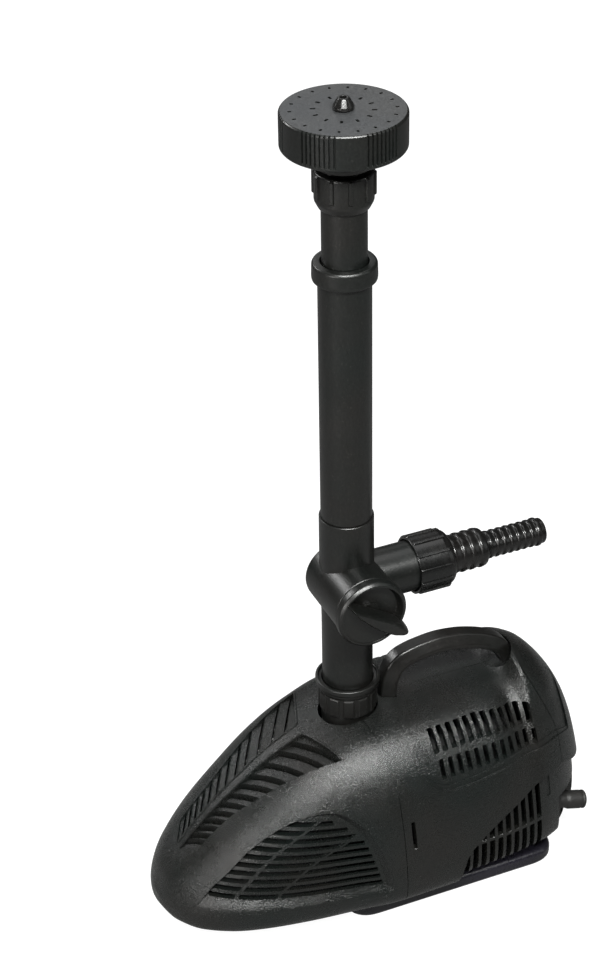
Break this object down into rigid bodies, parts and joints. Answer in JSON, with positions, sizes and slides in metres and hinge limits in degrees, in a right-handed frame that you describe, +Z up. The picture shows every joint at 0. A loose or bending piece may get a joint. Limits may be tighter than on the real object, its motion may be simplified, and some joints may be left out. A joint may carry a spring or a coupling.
{
  "type": "fountain pump",
  "caption": "Submersible fountain pump in a louvred strainer housing, with carry handle, telescopic riser, diverter valve, hose tail and tilting spray head.",
  "frame": {"origin": "the riser's axis at the level the foot stands on", "axes": "+Z up along the riser, -X towards the nose, +X towards the rear and along the hose branch"},
  "size_m": [0.2277, 0.12, 0.4205],
  "materials": {
    "black_plastic": "satin, fine speckled grain",
    "gloss_plastic": "semi-gloss",
    "black_rubber": "matt",
    "ceramic": "smooth ceramic",
    "ferrite": "smooth magnet",
    "resin": "cast potting resin",
    "steel": "satin",
    "copper": "enamelled winding"
  },
  "bodies": {
    "housing": {"rear_shell": "black_plastic", "rear_cap": "black_plastic", "lower_cover": "black_plastic", "carry_handle": "black_plastic", "foot": "gloss_plastic", "cable_gland": "black_rubber", "cable_grommet": "black_rubber", "pump_housing": "black_plastic", "housing_seal": "black_rubber", "rotor_shaft": "ceramic", "front_bearing": "ceramic", "rear_bearing": "ceramic", "motor_can": "black_plastic", "stator_core": "steel", "stator_coil": "copper", "motor_resin": "resin", "motor_cradle": "black_plastic", "outlet_seal": "black_rubber", "foot_screw_1": "steel", "foot_screw_2": "steel", "foot_screw_3": "steel", "foot_screw_4": "steel"},
    "strainer": {"front_strainer": "black_plastic"},
    "rotor": {"rotor_magnet": "ferrite", "impeller": "black_plastic"},
    "collar": {"outlet_collar": "gloss_plastic"},
    "valve": {"valve_body": "black_plastic", "stem_seal": "black_rubber", "hose_washer": "black_rubber", "hose_tail": "gloss_plastic", "outer_riser": "black_plastic"},
    "knob": {"valve_knob": "gloss_plastic", "valve_plug": "black_plastic"},
    "branch_nut": {"branch_nut": "gloss_plastic"},
    "lock_ring": {"lock_ring": "gloss_plastic"},
    "inner_riser": {"inner_riser": "black_plastic", "ball_seal": "black_rubber"},
    "ball_nut": {"ball_nut": "gloss_plastic"},
    "spray_base": {"spray_base": "gloss_plastic"},
    "spray_cap": {"spray_cap": "gloss_plastic"},
    "jet": {"centre_jet": "gloss_plastic"}
  },
  "joints": [
    {"name": "strainer_slide", "type": "slide", "parent": "housing", "child": "strainer", "axis": [-1, 0, 0], "range_m": [0, 0.06]},
    {"name": "rotor_spin", "type": "hinge", "parent": "housing", "child": "rotor", "pos_m": [0.03, 0, 0.046], "axis": [1, 0, 0], "continuous": true},
    {"name": "collar_turn", "type": "hinge", "parent": "housing", "child": "collar", "pos_m": [0, 0, 0.103], "axis": [0, 0, 1], "range_deg": [0, 360]},
    {"name": "riser_swivel", "type": "hinge", "parent": "housing", "child": "valve", "pos_m": [0, 0, 0.104], "axis": [0, 0, 1], "range_deg": [-180, 180]},
    {"name": "knob_turn", "type": "hinge", "parent": "valve", "child": "knob", "pos_m": [0, -0.025, 0.17], "axis": [0, 1, 0], "range_deg": [-35, 55]},
    {"name": "branch_nut_turn", "type": "hinge", "parent": "valve", "child": "branch_nut", "pos_m": [0.043, 0, 0.17], "axis": [1, 0, 0], "range_deg": [0, 360]},
    {"name": "lock_ring_turn", "type": "hinge", "parent": "valve", "child": "lock_ring", "pos_m": [0, 0, 0.338], "axis": [0, 0, 1], "range_deg": [0, 180]},
    {"name": "riser_extend", "type": "slide", "parent": "valve", "child": "inner_riser", "axis": [0, 0, 1], "range_m": [-0.025, 0.07]},
    {"name": "ball_nut_turn", "type": "hinge", "parent": "inner_riser", "child": "ball_nut", "pos_m": [0, 0, 0.378], "axis": [0, 0, 1], "range_deg": [0, 270]},
    {"name": "head_tilt", "type": "hinge", "parent": "inner_riser", "child": "spray_base", "pos_m": [0, 0, 0.381], "axis": [0, 1, 0], "range_deg": [-8, 8]},
    {"name": "cap_turn", "type": "hinge", "parent": "spray_base", "child": "spray_cap", "pos_m": [0, 0, 0.405], "axis": [0, 0, 1], "range_deg": [0, 360]},
    {"name": "jet_turn", "type": "hinge", "parent": "spray_cap", "child": "jet", "pos_m": [0, 0, 0.416], "axis": [0, 0, 1], "range_deg": [0, 180]}
  ]
}
